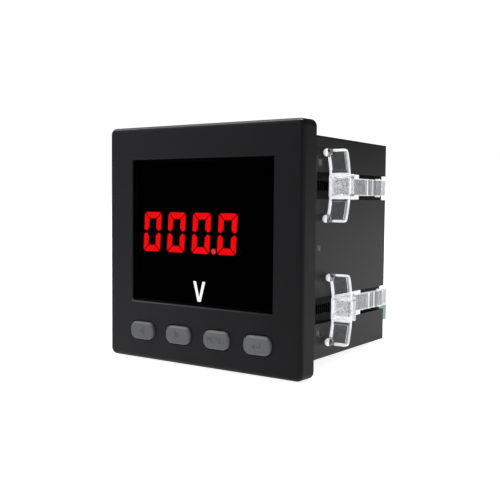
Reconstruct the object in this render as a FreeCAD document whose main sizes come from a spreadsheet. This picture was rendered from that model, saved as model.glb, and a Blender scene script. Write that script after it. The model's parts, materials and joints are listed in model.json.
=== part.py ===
import FreeCAD, Part
import math
import os
from types import SimpleNamespace

import Sketcher
from FreeCAD import Placement, Rotation, Vector

# Digital panel meter, in millimetres.
# X runs right as seen from the front, Y runs back into the panel and Z runs up.
# The origin is the centre of the bezel's rear face, where the panel's front face comes.

SIZES = {
    # bezel
    "bezel_width": 80.0,
    "bezel_height": 80.0,
    "bezel_depth": 7.2,
    "bezel_corner": 2.4,
    "bezel_edge": 1.4,
    "bezel_draft": 1.0,
    "bezel_plate": 3.0,
    "bezel_rim": 5.7,
    "case_seat": 1.0,
    "seat_gap": 0.1,
    # window and lens
    "window_width": 58.2,
    "window_height": 48.6,
    "window_rise": 4.4,
    "window_bevel": 0.35,
    "lens_thickness": 1.0,
    "lens_sink": 0.2,
    "lens_ledge": 0.9,
    "lens_gap": 0.1,
    # display module and its digits
    "module_gap": 0.2,
    "digit_height": 13.4,
    "digit_width": 7.5,
    "digit_pitch": 10.62,
    "digit_slant": 3.3,
    "digits_across": -5.05,
    "digits_rise": 4.2,
    "segment_width": 2.15,
    "segment_gap": 0.3,
    "segment_depth": 2.0,
    "point_diameter": 1.9,
    "point_across": 5.45,
    "segment_bevel": 0.55,
    "display_gap": 0.05,
    # display board
    "board_seat": 2.0,
    "board_thickness": 1.6,
    "board_gap": 0.4,
    "post_diameter": 4.6,
    "post_across": 30.6,
    "post_rise": 31.2,
    "post_drop": 23.2,
    "post_floor": 0.6,
    "screw_room": 0.3,
    "screw_diameter": 2.2,
    "screw_head": 3.8,
    "screw_head_height": 1.4,
    "screw_length": 7.0,
    # keys and their switches
    "key_width": 10.3,
    "key_height": 6.1,
    "key_corner": 2.6,
    "key_pitch": 16.0,
    "key_drop": 30.05,
    "key_proud": 1.0,
    "key_gap": 0.35,
    "key_bevel": 0.55,
    "key_flange_side": 0.9,
    "key_flange": 0.45,
    "key_flange_thickness": 0.9,
    "key_stem": 4.0,
    "key_play": 0.05,
    "switch_side": 6.0,
    "switch_height": 3.5,
    "switch_bore": 1.3,
    "plunger_diameter": 3.5,
    "plunger_proud": 0.9,
    "plunger_gap": 0.06,
    # case
    "case_width": 71.0,
    "case_height": 71.0,
    "case_depth": 58.0,
    "case_wall": 2.0,
    "case_corner": 0.8,
    "case_swell": 0.45,
    "case_draft": 0.44,
    # clip channels along the case's sides
    "channel_offset": 20.0,
    "channel_height": 8.6,
    "channel_depth": 1.6,
    "channel_start": 7.5,
    "channel_wall": 1.2,
    "floor_wall": 1.6,
    "backing_root": 0.5,
    "undercut_height": 0.5,
    "undercut_depth": 0.7,
    "tooth_pitch": 1.3,
    "tooth_height": 0.4,
    "rack_width": 3.0,
    "rack_start": 9.0,
    "rack_length": 39.0,
    "tooth_land": 0.2,
    # snap fingers of the bezel and their windows in the case
    "finger_thickness": 1.4,
    "finger_width": 2.0,
    "finger_reach": 12.2,
    "finger_gap": 0.15,
    "finger_offset": 27.3,
    "finger_spread": 16.0,
    "hook_start": 8.6,
    "hook_length": 1.9,
    "hook_height": 2.1,
    "hook_gap": 0.15,
    "hook_sink": 0.25,
    "hook_root": 0.3,
    # rear cover
    "cover_thickness": 2.0,
    "cover_gap": 0.1,
    "cover_post": 6.0,
    "cover_post_length": 12.0,
    "cover_post_across": 31.0,
    "cover_post_rise": 30.8,
    "cover_post_drop": 7.0,
    "cover_post_floor": 2.0,
    # main board and what it carries
    "main_board_width": 62.6,
    "main_board_top": -30.3,
    "main_board_start": 6.4,
    "main_board_end": 55.6,
    "rail_height": 1.0,
    "rail_start": 13.0,
    "rail_length": 30.0,
    "rail_grip": 0.8,
    "rail_root": 0.4,
    "board_fit": 0.1,
    "core_width": 20.0,
    "core_depth": 17.0,
    "core_height": 16.0,
    "core_x": -26.0,
    "core_y": 17.0,
    "core_limb_share": 0.2,
    "core_yoke": 2.5,
    "coil_overhang": 3.0,
    "coil_proud": 1.0,
    "coil_foot": 3.0,
    "coil_foot_height": 10.0,
    "capacitor_diameter": 10.0,
    "capacitor_height": 16.0,
    "capacitor_x": 18.0,
    "capacitor_y": 24.0,
    "small_capacitor_diameter": 6.3,
    "small_capacitor_height": 7.0,
    "chip_side": 10.0,
    "chip_height": 1.6,
    "chip_rise": 2.0,
    "link_width": 20.3,
    "link_height": 2.5,
    "link_pitch": 2.54,
    "link_pin": 0.64,
    "link_setback": 1.0,
    "link_gap": 0.02,
    # terminals
    "pole_pitch": 5.0,
    "header_side": 0.6,
    "header_space": 0.4,
    "header_height": 8.6,
    "header_wall": 0.7,
    "header_back": 4.0,
    "header_depth": 12.5,
    "header_proud": 1.0,
    "pin_side": 1.0,
    "pin_reach": 6.5,
    "plug_gap": 0.1,
    "plug_insert": 7.5,
    "plug_reach": 11.5,
    "plug_height": 11.0,
    "plug_shoulder": 2.2,
    "plug_rise": 0.3,
    "plug_slope": 1.2,
    "plug_ramp": 1.0,
    "plug_ramp_drop": 0.8,
    "entry_rise": 1.0,
    "socket_room": 0.4,
    "wire_width": 3.9,
    "wire_height": 4.2,
    "wire_depth": 8.2,
    "clamp_wall": 0.5,
    "clamp_length": 4.5,
    "clamp_fit": 0.1,
    "terminal_screw": 3.4,
    "terminal_screw_sink": 1.5,
    "slot_width": 0.6,
    "slot_depth": 0.6,
    # clips
    "clip_start": 15.3,
    "clip_lag": 2.6,
    "clip_fit": 0.1,
    "runner_start": 5.0,
    "runner_length": 21.0,
    "arm_length": 41.0,
    "arm_height": 5.8,
    "arm_thickness": 1.4,
        "grip_height": 0.5,
    "grip_width": 0.9,
    "grip_start": 27.0,
    "grip_pitch": 4.0,
    "lip_height": 0.6,
    "barb_setback": 4.4,
    "barb_length": 1.0,
    "barb_height": 0.35,
    "lip_width": 1.2,
    "grip_root": 0.2,
    "groove_room": 0.6,
    "arm_root": 1.0,
    "wing_inset": 1.0,
    "wing_width": 7.0,
    "wing_span": 23.2,
    "wing_thickness": 1.1,
    "wing_bow": 2.4,
    "wing_rim": 0.9,
    "wing_recess": 0.35,
    "wing_corner": 1.0,
    "hub_height": 8.2,
    "hub_crown": 0.6,
    "hub_depth": 4.0,
    "cheek_thickness": 1.3,
    "cheek_length": 12.5,
    "cheek_root": 0.5,
    "cheek_inset": 0.4,
    "cheek_land": 1.2,
    "cheek_step": 0.3,
    "foot_diameter": 2.6,
    "foot_stem": 1.4,
    "foot_offset": 10.5,
    "foot_inset": 2.0,
    "foot_reach": 4.2,
}

POLES = 6
DIGITS = 4
KEY_NAMES = ("left", "right", "menu", "enter")
LINK_PINS = 8
SMALL_CAPACITORS = ((4, 22), (4, 32), (20, 36))

# Two places nearer than this are the same one.
SAME_PLACE = 1e-3

# Each stroke of a digit: its name, its two ends on a grid one unit wide and two high.
STROKES = {
    "top": ((0, 2), (1, 2)),
    "upper_right": ((1, 2), (1, 1)),
    "lower_right": ((1, 1), (1, 0)),
    "bottom": ((1, 0), (0, 0)),
    "lower_left": ((0, 0), (0, 1)),
    "upper_left": ((0, 1), (0, 2)),
    "middle": ((0, 1), (1, 1)),
}


class Size:
    """A length, kept as the sheet's formula for it and as the number that the formula gives."""

    def __init__(self, formula, number):
        self.formula = formula
        self.number = number

    def joined(self, other, sign, number):
        return Size(f"({self.formula} {sign} {as_size(other).formula})", number)

    def __add__(self, other):
        return self.joined(other, "+", self.number + as_size(other).number)

    def __sub__(self, other):
        return self.joined(other, "-", self.number - as_size(other).number)

    def __mul__(self, other):
        return self.joined(other, "*", self.number * as_size(other).number)

    def __truediv__(self, other):
        return self.joined(other, "/", self.number / as_size(other).number)

    def __radd__(self, other):
        return as_size(other) + self

    def __rsub__(self, other):
        return as_size(other) - self

    def __rmul__(self, other):
        return as_size(other) * self

    def __neg__(self):
        return 0 - self


def as_size(value):
    if isinstance(value, Size):
        return value
    return Size(f"({float(value)})", float(value))


def make_sheet(doc):
    """The driving dimensions, one row each: the name and its number."""
    sheet = doc.addObject("Spreadsheet::Sheet", "sizes")
    for row, (name, number) in enumerate(SIZES.items(), start=1):
        sheet.set(f"A{row}", name)
        sheet.set(f"B{row}", str(number))
        sheet.setAlias(f"B{row}", name)
    doc.recompute()
    return SimpleNamespace(**{name: Size(f"sizes.{name}", float(sheet.get(name))) for name in SIZES})


def bind(item, name, value):
    """Tie a property to the sheet's formula."""
    item.setExpression(name, as_size(value).formula)


def place(item, x=0, y=0, z=0):
    for axis, value in zip("xyz", (x, y, z)):
        bind(item, f"Placement.Base.{axis}", value)


# Sketches. A front sketch lies at a depth Y, seen from the front: X across and Z up.
# A side sketch lies at a distance X: Y across and Z up. A plan sketch lies at a height Z.

def origin_plane(body, role):
    return next(item for item in body.Origin.OriginFeatures if item.Role == role)


def sketch_on(body, name, role, shifts):
    sketch = body.newObject("Sketcher::SketchObject", name)
    sketch.AttachmentSupport = (origin_plane(body, role), "")
    sketch.MapMode = "FlatFace"
    for axis, value in zip("xyz", shifts):
        bind(sketch, f"AttachmentOffset.Base.{axis}", value)
    return sketch


def front_sketch(body, name, y=0, x=0, z=0):
    return sketch_on(body, name, "XZ_Plane", (x, z, -as_size(y)))


def side_sketch(body, name, x=0, z=0):
    return sketch_on(body, name, "YZ_Plane", (0, z, x))


def plan_sketch(body, name, z=0):
    return sketch_on(body, name, "XY_Plane", (0, 0, z))


def hold(sketch, kind, name, value, *where):
    """One dimension of a sketch, tied to the sheet."""
    value = as_size(value)
    index = sketch.addConstraint(Sketcher.Constraint(kind, *where, value.number))
    label = f"{name}_{index}"
    sketch.renameConstraint(index, label)
    bind(sketch, f"Constraints.{label}", value)


def polygon(sketch, points):
    """A closed outline of straight lines through the points."""
    points = [(as_size(x), as_size(y)) for x, y in points]
    corners = [Vector(x.number, y.number, 0) for x, y in points]
    first = sketch.GeometryCount
    count = len(points)
    for index in range(count):
        sketch.addGeometry(Part.LineSegment(corners[index], corners[(index + 1) % count]), False)
    for index in range(count):
        following = first + (index + 1) % count
        sketch.addConstraint(Sketcher.Constraint("Coincident", first + index, 2, following, 1))
    for index, (x, y) in enumerate(points):
        hold(sketch, "DistanceX", "across", x, -1, 1, first + index, 1)
        hold(sketch, "DistanceY", "up", y, -1, 1, first + index, 1)
    return sketch


def rectangle(sketch, wide, high, x=0, y=0):
    """A rectangle centred on (x, y) in the sketch."""
    left = as_size(x) - as_size(wide) / 2
    right = as_size(x) + as_size(wide) / 2
    low = as_size(y) - as_size(high) / 2
    top = as_size(y) + as_size(high) / 2
    return polygon(sketch, ((left, low), (right, low), (right, top), (left, top)))


def circle(sketch, diameter, x=0, y=0):
    x = as_size(x)
    y = as_size(y)
    diameter = as_size(diameter)
    centre = Vector(x.number, y.number, 0)
    index = sketch.addGeometry(Part.Circle(centre, Vector(0, 0, 1), diameter.number / 2), False)
    hold(sketch, "DistanceX", "across", x, -1, 1, index, 3)
    hold(sketch, "DistanceY", "up", y, -1, 1, index, 3)
    hold(sketch, "Diameter", "diameter", diameter, index)
    return sketch


def rounded_rectangle(sketch, wide, high, radius):
    """A rectangle with round corners, centred on the sketch's origin."""
    wide = as_size(wide)
    high = as_size(high)
    radius = as_size(radius)
    a = wide.number / 2
    b = high.number / 2
    r = radius.number
    quarter = math.pi / 2
    centres = ((a - r, r - b), (a - r, b - r), (r - a, b - r), (r - a, r - b))
    runs = (((r - a, -b), (a - r, -b)), ((a, r - b), (a, b - r)),
            ((a - r, b), (r - a, b)), ((-a, b - r), (-a, r - b)))
    for index, (run, centre) in enumerate(zip(runs, centres)):
        sketch.addGeometry(Part.LineSegment(Vector(*run[0], 0), Vector(*run[1], 0)), False)
        round_corner = Part.Circle(Vector(*centre, 0), Vector(0, 0, 1), r)
        start = (index - 1) * quarter
        sketch.addGeometry(Part.ArcOfCircle(round_corner, start, start + quarter), False)
    for line in (0, 2, 4, 6):
        sketch.addConstraint(Sketcher.Constraint("Tangent", line, 2, line + 1, 1))
        sketch.addConstraint(Sketcher.Constraint("Tangent", line + 1, 2, (line + 2) % 8, 1))
    for arc in (3, 5, 7):
        sketch.addConstraint(Sketcher.Constraint("Equal", 1, arc))
    sketch.addConstraint(Sketcher.Constraint("Horizontal", 0))
    sketch.addConstraint(Sketcher.Constraint("Vertical", 2))
    sketch.addConstraint(Sketcher.Constraint("Symmetric", 0, 1, 4, 1, -1, 1))
    hold(sketch, "Radius", "corner", radius, 1)
    hold(sketch, "DistanceX", "wide", wide, 6, 1, 2, 1)
    hold(sketch, "DistanceY", "high", high, 0, 1, 4, 1)
    return sketch


# Features. Back is towards +Y for a front sketch, and onward along the normal for the other two.

def pad(body, sketch, length, back=False):
    feature = body.newObject("PartDesign::Pad", sketch.Name + "_pad")
    feature.Profile = sketch
    feature.Reversed = back
    bind(feature, "Length", length)
    body.Tip = feature
    return feature


def pad_both_ways(body, sketch, length):
    feature = pad(body, sketch, length)
    feature.SideType = "Symmetric"
    return feature


def pocket(body, sketch, length, front=False):
    """A cut from a front sketch towards +Y, or towards -Y when front is set."""
    feature = body.newObject("PartDesign::Pocket", sketch.Name + "_pocket")
    feature.Profile = sketch
    feature.Reversed = front
    bind(feature, "Length", length)
    body.Tip = feature
    return feature


def pocket_both_ways(body, sketch, length):
    feature = pocket(body, sketch, length)
    feature.SideType = "Symmetric"
    return feature


def mirrored(body, originals, role, name):
    feature = body.newObject("PartDesign::Mirrored", name)
    feature.Originals = originals
    feature.MirrorPlane = (origin_plane(body, role), [""])
    body.Tip = feature
    return feature


def mirror_steps(body, name):
    """Two mirrors for a multi-transform, which copy into all four quarters of the front view."""
    steps = []
    for role in ("YZ_Plane", "XY_Plane"):
        step = body.newObject("PartDesign::Mirrored", f"{name}_{role[:2]}")
        step.MirrorPlane = (origin_plane(body, role), [""])
        steps.append(step)
    return steps


def edges_where(shape, accept):
    return [f"Edge{number}" for number, edge in enumerate(shape.Edges, start=1) if accept(edge)]


def fillet(body, radius, accept, kind="PartDesign::Fillet", dimension="Radius"):
    """Round the edges of the body so far that pass the test."""
    body.Document.recompute()
    base = body.Tip
    feature = body.newObject(kind, base.Name + "_edges")
    feature.Base = (base, edges_where(base.Shape, accept))
    bind(feature, dimension, radius)
    body.Tip = feature
    return feature


def chamfer(body, size, accept):
    return fillet(body, size, accept, "PartDesign::Chamfer", "Size")


def lies_at_depth(y):
    def accept(edge):
        box = edge.BoundBox
        return abs(box.YMin - y) < SAME_PLACE and abs(box.YMax - y) < SAME_PLACE
    return accept


def new_body(doc, name):
    body = doc.addObject("PartDesign::Body", name)
    body.Label = name
    return body


def box(doc, name, low, size):
    """A plain block from its low corner."""
    item = doc.addObject("Part::Box", name)
    item.Label = name
    for prop, value in zip(("Length", "Width", "Height"), size):
        bind(item, prop, value)
    place(item, *low)
    return item


TURNS = {
    "Z": Rotation(),
    "Y": Rotation(Vector(1, 0, 0), -90),
    "X": Rotation(Vector(0, 1, 0), 90),
}


def cylinder(doc, name, base, diameter, length, axis="Z"):
    """A round bar from the centre of its low end, along an axis."""
    item = doc.addObject("Part::Cylinder", name)
    item.Label = name
    bind(item, "Radius", as_size(diameter) / 2)
    bind(item, "Height", length)
    item.Placement = Placement(Vector(), TURNS[axis])
    place(item, *base)
    return item


def fused(doc, name, items):
    item = doc.addObject("Part::MultiFuse", name)
    item.Label = name
    item.Shapes = items
    return item


def cut(doc, name, base, tool):
    item = doc.addObject("Part::Cut", name)
    item.Label = name
    item.Base = base
    item.Tool = tool
    return item


def group(doc, name, items):
    """Like pieces that stay separate solids under one name."""
    item = doc.addObject("Part::Compound", name)
    item.Label = name
    item.Links = items
    return item


def shape_node(doc, name, shape):
    item = doc.addObject("Part::Feature", name)
    item.Label = name
    item.Shape = shape
    return item


def derived(d):
    """Places that several pieces share, worked out from the driving dimensions."""
    d.front = -d.bezel_depth
    d.plate_back = d.front + d.bezel_plate
    d.lens_back = d.front + d.lens_sink + d.lens_thickness
    d.case_front_width = d.case_width + 2 * d.case_swell
    d.case_front_height = d.case_height + 2 * d.case_swell
    d.case_inner_x = d.case_width / 2 - d.case_wall
    d.case_inner_z = d.case_height / 2 - d.case_wall
    d.floor_x = d.case_width / 2 - d.channel_depth
    d.jog_x = d.floor_x - d.floor_wall
    d.jog_height = d.channel_height + 2 * d.undercut_height + 2 * d.channel_wall
    d.opening_width = d.window_width - 2 * d.lens_ledge
    d.opening_height = d.window_height - 2 * d.lens_ledge
    d.board_back = d.board_seat + d.board_thickness
    d.finger_top = d.case_inner_x - d.finger_gap
    d.finger_top_z = d.case_inner_z - d.finger_gap
    d.cover_seat = d.case_depth - d.cover_thickness
    d.main_board_low = d.main_board_top - d.board_thickness
    d.header_width = d.pole_pitch * POLES + 2 * d.header_side
    d.header_end = d.case_depth + d.header_proud
    d.header_start = d.header_end - d.header_depth
    d.socket_floor = d.header_start + d.header_back
    d.header_centre_z = d.main_board_top + d.header_height / 2
    d.plug_low = d.main_board_top + d.plug_rise
    d.plug_top = d.plug_low + d.plug_height
    d.stem_front = d.board_seat - d.switch_height - d.plunger_proud
    return d


def key_places(d):
    """Distance of each key from the middle, from left to right."""
    return [(index - 1.5) * d.key_pitch for index in range(len(KEY_NAMES))]


def make_bezel(doc, d):
    """Front moulding: tapered rim, sunk window, four key holes, screw posts and snap fingers."""
    body = new_body(doc, "bezel")
    outline = front_sketch(body, "bezel_outline")
    rounded_rectangle(outline, d.bezel_width, d.bezel_height, d.bezel_corner)
    rim = pad(body, outline, d.bezel_depth)
    bind(rim, "TaperAngle", -d.bezel_draft)
    fillet(body, d.bezel_edge, lies_at_depth(d.front.number))

    recess = front_sketch(body, "lens_recess", d.front, z=d.window_rise)
    rectangle(recess, d.window_width, d.window_height)
    pocket(body, recess, d.lens_sink + d.lens_thickness)
    inner_x = d.window_width.number / 2 + SAME_PLACE
    chamfer(body, d.window_bevel, lambda edge: lies_at_depth(d.front.number)(edge)
            and max(abs(edge.BoundBox.XMin), abs(edge.BoundBox.XMax)) < inner_x)

    opening = front_sketch(body, "window_opening", d.front, z=d.window_rise)
    rectangle(opening, d.opening_width, d.opening_height)
    pocket(body, opening, d.bezel_depth)

    first_key = front_sketch(body, "key_hole", d.front, key_places(d)[0], -d.key_drop)
    room = 2 * d.key_gap
    rounded_rectangle(first_key, d.key_width + room, d.key_height + room, d.key_corner + d.key_gap)
    hole = pocket(body, first_key, d.bezel_depth)
    row = body.newObject("PartDesign::LinearPattern", "key_holes")
    row.Originals = [hole]
    row.Direction = (first_key, ["H_Axis"])
    row.Mode = "Spacing"
    bind(row, "Offset", d.key_pitch)
    row.Occurrences = len(KEY_NAMES)
    body.Tip = row

    cavity = front_sketch(body, "rear_cavity")
    rectangle(cavity, d.bezel_width - 2 * d.bezel_rim, d.bezel_height - 2 * d.bezel_rim)
    pocket(body, cavity, d.bezel_depth - d.bezel_plate, front=True)
    rebate = front_sketch(body, "case_rebate")
    rectangle(rebate, d.case_front_width + 2 * d.seat_gap, d.case_front_height + 2 * d.seat_gap)
    pocket(body, rebate, d.case_seat, front=True)

    post_length = d.board_seat - d.plate_back
    posts = front_sketch(body, "board_posts", d.plate_back)
    pilots = front_sketch(body, "post_pilots", d.board_seat)
    for x, z in post_places(d):
        circle(posts, d.post_diameter, x, z)
        circle(pilots, d.screw_diameter, x, z)
    pad(body, posts, post_length, back=True)
    pocket(body, pilots, post_length - d.post_floor, front=True)

    make_fingers(body, d)
    return body


def post_places(d):
    """Centres of the posts that carry the display board."""
    return [(side * d.post_across, z) for side in (-1, 1) for z in (d.post_rise, -d.post_drop)]


def make_fingers(body, d):
    """Snap fingers that reach into the case, each with a sloped hook for a window in its wall."""
    length = d.finger_reach - d.plate_back
    roots = front_sketch(body, "side_fingers", d.plate_back)
    for z in (d.finger_offset, as_size(0), -d.finger_offset):
        rectangle(roots, d.finger_thickness, d.finger_width, d.finger_top - d.finger_thickness / 2, z)
    fingers = pad(body, roots, length, back=True)
    hooks = []
    for number, z in enumerate((d.finger_offset, as_size(0), -d.finger_offset)):
        wedge = plan_sketch(body, f"side_hook_{number}", z)
        polygon(wedge, hook_outline(d, d.finger_top, d.case_front_width / 2))
        hooks.append(pad_both_ways(body, wedge, d.hook_height - 2 * d.hook_gap))
    mirrored(body, [fingers] + hooks, "YZ_Plane", "left_fingers")

    roots = front_sketch(body, "end_fingers", d.plate_back)
    for x in (-d.finger_spread, d.finger_spread):
        rectangle(roots, d.finger_width, d.finger_thickness, x, d.finger_top_z - d.finger_thickness / 2)
    fingers = pad(body, roots, length, back=True)
    hooks = []
    for number, x in enumerate((-d.finger_spread, d.finger_spread)):
        wedge = side_sketch(body, f"end_hook_{number}", x)
        outline = [(y, z) for z, y in hook_outline(d, d.finger_top_z, d.case_front_height / 2)]
        polygon(wedge, outline)
        hooks.append(pad_both_ways(body, wedge, d.hook_height - 2 * d.hook_gap))
    mirrored(body, [fingers] + hooks, "XY_Plane", "lower_fingers")


def hook_outline(d, root, skin):
    """A wedge from the finger's face almost to the case's outer skin, sloped at the back."""
    crest = skin - d.hook_sink
    inside = root - d.hook_root
    start = d.hook_start + d.hook_gap
    end = d.hook_start + d.hook_length - d.hook_gap
    return ((inside, start), (crest, start), (crest, start + d.hook_root), (root, end), (inside, end))


def make_lens(doc, d):
    """Dark window that lies in the bezel's recess, a hair below the face."""
    body = new_body(doc, "window_lens")
    outline = front_sketch(body, "lens_outline", d.lens_back, z=d.window_rise)
    rectangle(outline, d.window_width - 2 * d.lens_gap, d.window_height - 2 * d.lens_gap)
    pad(body, outline, d.lens_thickness)
    return body


def digit_outlines(d):
    """Outlines of every stroke, by stroke name: mitred bars with a thin gap between neighbours."""
    width = d.digit_width.number - d.segment_width.number
    half_height = (d.digit_height.number - d.segment_width.number) / 2
    slope = math.tan(math.radians(d.digit_slant.number))
    outlines = {name: [] for name in STROKES}
    for digit in range(DIGITS):
        middle = digit_middle(d, digit)
        for name, grid_ends in STROKES.items():
            start, end = (Vector((u - 0.5) * width, 0, (v - 1) * half_height) for u, v in grid_ends)
            along = (end - start).normalize()
            outward = Vector(-along.z, 0, along.x)
            tip = waist_tip if name == "middle" else rim_tip
            points = tip(d, start, along, outward) + list(reversed(tip(d, end, -along, outward)))
            rise = d.digits_rise.number
            outlines[name].append([Vector(middle + p.x + slope * p.z, 0, rise + p.z) for p in points])
    return outlines


def digit_middle(d, digit):
    return d.digits_across.number + (digit - (DIGITS - 1) / 2) * d.digit_pitch.number


def waist_tip(d, end, inward, outward):
    """The pointed end of a middle bar."""
    half = d.segment_width.number / 2
    tip = end + inward * d.segment_gap.number
    return [tip + (inward - outward) * half, tip, tip + (inward + outward) * half]


def rim_tip(d, end, inward, outward):
    """The end of a stroke on the digit's rim, from its inner corner to its outer one."""
    half = d.segment_width.number / 2
    bevel = d.segment_bevel.number
    if is_corner(end):
        tip = end + inward * (d.segment_gap.number / math.sqrt(2))
        return [tip + (inward - outward) * half, tip + (outward - inward) * (half - bevel / 2),
                tip + outward * half - inward * (half - bevel)]
    tip = end + inward * d.segment_gap.number
    return [tip + (inward - outward) * half, tip, tip + outward * half + inward * bevel]


def is_corner(end):
    return abs(end.z) > 0.1


def bars(outlines, front, depth):
    """One solid for each outline, from its face backwards."""
    solids = []
    for outline in outlines:
        points = [Vector(p.x, front, p.z) for p in outline]
        face = Part.Face(Part.makePolygon(points + points[:1]))
        solids.append(face.extrude(Vector(0, depth, 0)))
    return solids


def make_display(doc, d):
    """The digits' light bars and the module's shell, with a pit for each bar."""
    front = d.lens_back.number + d.display_gap.number
    depth = d.segment_depth.number
    outlines = digit_outlines(d)
    ring = [outline for name in STROKES if name != "middle" for outline in outlines[name]]
    rim_bars = bars(ring, front, depth)
    middle_bars = bars(outlines["middle"], front, depth)
    points = []
    slope = math.tan(math.radians(d.digit_slant.number))
    low = -d.digit_height.number / 2 + d.point_diameter.number / 2
    for digit in range(DIGITS):
        x = digit_middle(d, digit) + d.point_across.number + slope * low
        base = Vector(x, front, d.digits_rise.number + low)
        points.append(Part.makeCylinder(d.point_diameter.number / 2, depth, base, Vector(0, 1, 0)))
    width = d.opening_width.number - 2 * d.module_gap.number
    height = d.opening_height.number - 2 * d.module_gap.number
    length = d.board_seat.number - front
    corner = Vector(-width / 2, front, d.window_rise.number - height / 2)
    shell = Part.makeBox(width, length, height, corner)
    shell = shell.cut(Part.makeCompound(rim_bars + middle_bars + points))
    return [
        shape_node(doc, "display_module", shell),
        shape_node(doc, "digit_rim_segments", Part.makeCompound(rim_bars)),
        shape_node(doc, "digit_middle_segments", Part.makeCompound(middle_bars)),
        shape_node(doc, "decimal_points", Part.makeCompound(points)),
    ]


def make_display_board(doc, d):
    """Board behind the window: notched for the snap fingers and drilled for its screws."""
    body = new_body(doc, "display_board")
    outline = front_sketch(body, "display_board_outline", d.board_seat)
    wide = 2 * (d.case_inner_x - d.board_gap)
    high = 2 * (d.case_inner_z - d.board_gap)
    rectangle(outline, wide, high)
    pad(body, outline, d.board_thickness, back=True)
    notches = front_sketch(body, "finger_notches", d.board_seat)
    room = 2 * d.board_gap
    depth = 2 * (d.finger_thickness + room)
    width = d.finger_width + 2 * room
    for side in (-1, 1):
        for z in (-d.finger_offset, as_size(0), d.finger_offset):
            rectangle(notches, depth, width, side * d.finger_top, z)
        for x in (-d.finger_spread, d.finger_spread):
            rectangle(notches, width, depth, x, side * d.finger_top_z)
    pocket(body, notches, d.board_thickness)
    holes = front_sketch(body, "display_board_holes", d.board_seat)
    for x, z in post_places(d):
        circle(holes, d.screw_diameter + d.screw_room, x, z)
    pocket(body, holes, d.board_thickness)
    return body


def screw(doc, name, d, x, y, z):
    """A pan-head screw with its head's underside at depth y."""
    head = cylinder(doc, name + "_head", (x, y, z), d.screw_head, d.screw_head_height, "Y")
    shank = cylinder(doc, name + "_shank", (x, y - d.screw_length, z), d.screw_diameter, d.screw_length, "Y")
    return fused(doc, name, [head, shank])


def make_board_screws(doc, d):
    places = post_places(d)
    screws = [screw(doc, f"board_screw_{n}", d, x, d.board_back, z) for n, (x, z) in enumerate(places)]
    return group(doc, "board_screws", screws)


def make_switch(doc, d, number, x):
    """Tact switch on the display board, and the plunger that its key pushes."""
    front = d.board_seat - d.switch_height
    low = (x - d.switch_side / 2, front, -d.key_drop - d.switch_side / 2)
    block = box(doc, f"switch_block_{number}", low, (d.switch_side, d.switch_height, d.switch_side))
    bore = cylinder(doc, f"switch_bore_{number}", (x, front, -d.key_drop),
                    d.plunger_diameter + 2 * d.plunger_gap, d.switch_bore, "Y")
    body = cut(doc, f"switch_body_{number}", block, bore)
    plunger = cylinder(doc, f"switch_plunger_{number}", (x, d.stem_front, -d.key_drop),
                       d.plunger_diameter, d.plunger_proud + d.switch_bore / 2, "Y")
    return body, plunger


def make_key(doc, d, name, x):
    """Keycap with bevelled face, a flange behind the plate and a stem to its switch."""
    body = new_body(doc, f"key_{name}")
    face = d.front - d.key_proud
    flange_front = d.plate_back + d.key_play
    cap = front_sketch(body, f"{name}_cap", flange_front)
    rounded_rectangle(cap, d.key_width, d.key_height, d.key_corner)
    pad(body, cap, flange_front - face)
    fillet(body, d.key_bevel, lies_at_depth(face.number))
    flange = front_sketch(body, f"{name}_flange", flange_front)
    flange_width = d.key_width + 2 * d.key_flange_side
    rounded_rectangle(flange, flange_width, d.key_height + 2 * d.key_flange, d.key_corner)
    pad(body, flange, d.key_flange_thickness, back=True)
    stem = front_sketch(body, f"{name}_stem", flange_front + d.key_flange_thickness)
    circle(stem, d.key_stem)
    pad(body, stem, d.stem_front - flange_front - d.key_flange_thickness, back=True)
    place(body, x, 0, -d.key_drop)
    return body


def channel_places(d):
    return [(side, z) for side in (-1, 1) for z in (-d.channel_offset, d.channel_offset)]


def cover_places(d):
    """Centres of the rear cover's screws."""
    levels = (d.cover_post_rise, -d.cover_post_drop)
    return [(side * d.cover_post_across, z) for side in (-1, 1) for z in levels]


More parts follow.
